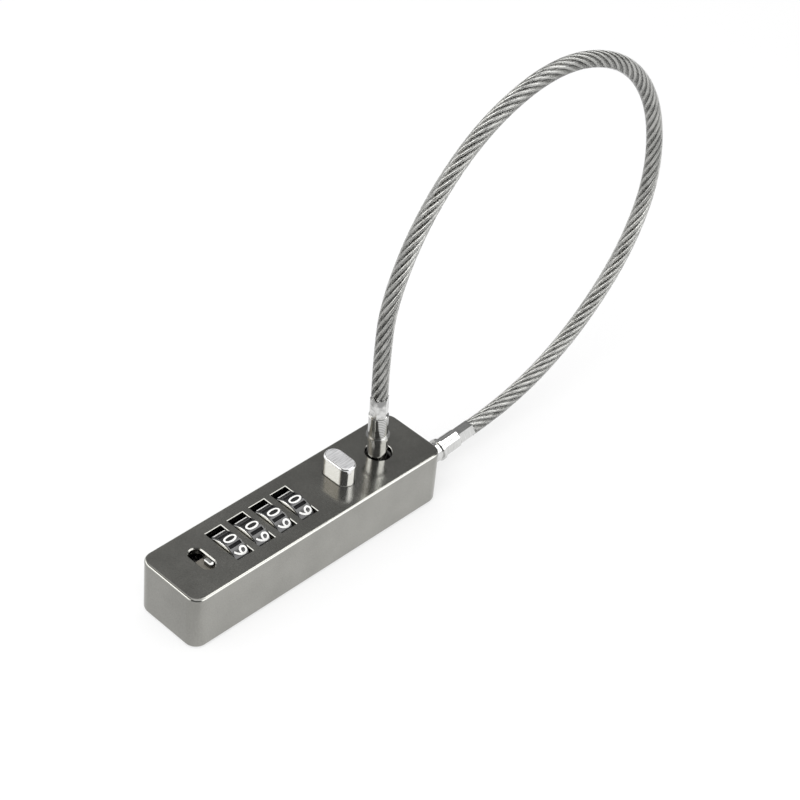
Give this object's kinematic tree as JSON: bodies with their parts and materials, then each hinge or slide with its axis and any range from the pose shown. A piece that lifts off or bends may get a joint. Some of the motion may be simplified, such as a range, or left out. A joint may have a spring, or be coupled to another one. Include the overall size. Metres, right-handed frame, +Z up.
{
  "type": "combination cable lock",
  "caption": "Short combination cable lock: metal bar with number wheels, a push button, a reset slot and a wire-rope loop that plugs into its top.",
  "frame": {"origin": "middle of the bar's underside", "axes": "+X along the bar towards the fixed end of the cable, +Z up out of the face with the number wheels"},
  "size_m": [0.1634, 0.02, 0.1085],
  "materials": {
    "satin_alloy": "satin nickel on die-cast zinc",
    "bright_metal": "polished nickel",
    "plain_steel": "zinc-plated",
    "spring_steel": "bright wire",
    "brass": "turned",
    "black_enamel": "gloss, with white numbers",
    "rope_steel": "stranded wire",
    "clear_jacket": "clear vinyl"
  },
  "bodies": {
    "case": {"housing": "satin_alloy", "bottom_cover": "satin_alloy", "cover_screws": "plain_steel", "wheel_frame": "plain_steel", "detent_spring": "spring_steel", "reset_spring": "spring_steel", "latch_spring": "spring_steel", "button_springs": "spring_steel", "ejector_spring": "spring_steel", "plug_socket": "plain_steel", "end_terminal": "bright_metal", "end_clip": "plain_steel", "wire_rope": "rope_steel", "rope_jacket": "clear_jacket"},
    "wheel_1": {"number_wheel_1": "black_enamel"},
    "sleeve_1": {"code_sleeve_1": "brass"},
    "wheel_2": {"number_wheel_2": "black_enamel"},
    "sleeve_2": {"code_sleeve_2": "brass"},
    "wheel_3": {"number_wheel_3": "black_enamel"},
    "sleeve_3": {"code_sleeve_3": "brass"},
    "wheel_4": {"number_wheel_4": "black_enamel"},
    "sleeve_4": {"code_sleeve_4": "brass"},
    "latch": {"latch": "plain_steel", "spindle": "plain_steel"},
    "button": {"button": "bright_metal"},
    "reset_lever": {"reset_lever": "bright_metal"},
    "reset_plate": {"reset_plate": "plain_steel"},
    "plug": {"plug_terminal": "bright_metal"}
  },
  "joints": [
    {"name": "wheel_1_turn", "type": "hinge", "parent": "case", "child": "wheel_1", "pos_m": [-0.02112, 0.0004, 0.01014], "axis": [1, 0, 0], "continuous": true, "deforming": ["detent_spring"]},
    {"name": "wheel_2_turn", "type": "hinge", "parent": "case", "child": "wheel_2", "pos_m": [-0.01422, 0.0004, 0.01014], "axis": [1, 0, 0], "continuous": true, "deforming": ["detent_spring"]},
    {"name": "wheel_3_turn", "type": "hinge", "parent": "case", "child": "wheel_3", "pos_m": [-0.00732, 0.0004, 0.01014], "axis": [1, 0, 0], "continuous": true, "deforming": ["detent_spring"]},
    {"name": "wheel_4_turn", "type": "hinge", "parent": "case", "child": "wheel_4", "pos_m": [-0.00042, 0.0004, 0.01014], "axis": [1, 0, 0], "continuous": true, "deforming": ["detent_spring"]},
    {"name": "reset_slide", "type": "slide", "parent": "case", "child": "reset_lever", "axis": [0, 1, 0], "range_m": [0, 0.0031], "deforming": ["reset_spring"]},
    {"name": "reset_plate_shift", "type": "slide", "parent": "case", "child": "reset_plate", "axis": [1, 0, 0], "range_m": [0, 0.0011]},
    {"name": "sleeve_1_shift", "type": "slide", "parent": "wheel_1", "child": "sleeve_1", "axis": [1, 0, 0], "range_m": [0, 0.0011]},
    {"name": "sleeve_2_shift", "type": "slide", "parent": "wheel_2", "child": "sleeve_2", "axis": [1, 0, 0], "range_m": [0, 0.0011]},
    {"name": "sleeve_3_shift", "type": "slide", "parent": "wheel_3", "child": "sleeve_3", "axis": [1, 0, 0], "range_m": [0, 0.0011]},
    {"name": "sleeve_4_shift", "type": "slide", "parent": "wheel_4", "child": "sleeve_4", "axis": [1, 0, 0], "range_m": [0, 0.0011]},
    {"name": "button_press", "type": "slide", "parent": "case", "child": "button", "axis": [0, 0, -1], "range_m": [0, 0.0024], "stiffness_N_per_m": 300, "springref_m": -0.002, "deforming": ["button_springs"]},
    {"name": "latch_slide", "type": "slide", "parent": "case", "child": "latch", "axis": [-1, 0, 0], "range_m": [0, 0.0024], "deforming": ["latch_spring"]},
    {"name": "plug_slide", "type": "slide", "parent": "case", "child": "plug", "axis": [-0.0541, 0, 0.9985], "range_m": [0, 0.01], "deforming": ["wire_rope", "rope_jacket", "ejector_spring"]}
  ],
  "couplings": [
    {"joint": "reset_plate_shift", "follows": "reset_slide", "ratio": 0.35484},
    {"joint": "sleeve_1_shift", "follows": "reset_slide", "ratio": 0.35484},
    {"joint": "sleeve_2_shift", "follows": "reset_slide", "ratio": 0.35484},
    {"joint": "sleeve_3_shift", "follows": "reset_slide", "ratio": 0.35484},
    {"joint": "sleeve_4_shift", "follows": "reset_slide", "ratio": 0.35484},
    {"joint": "latch_slide", "follows": "button_press", "ratio": 1}
  ]
}
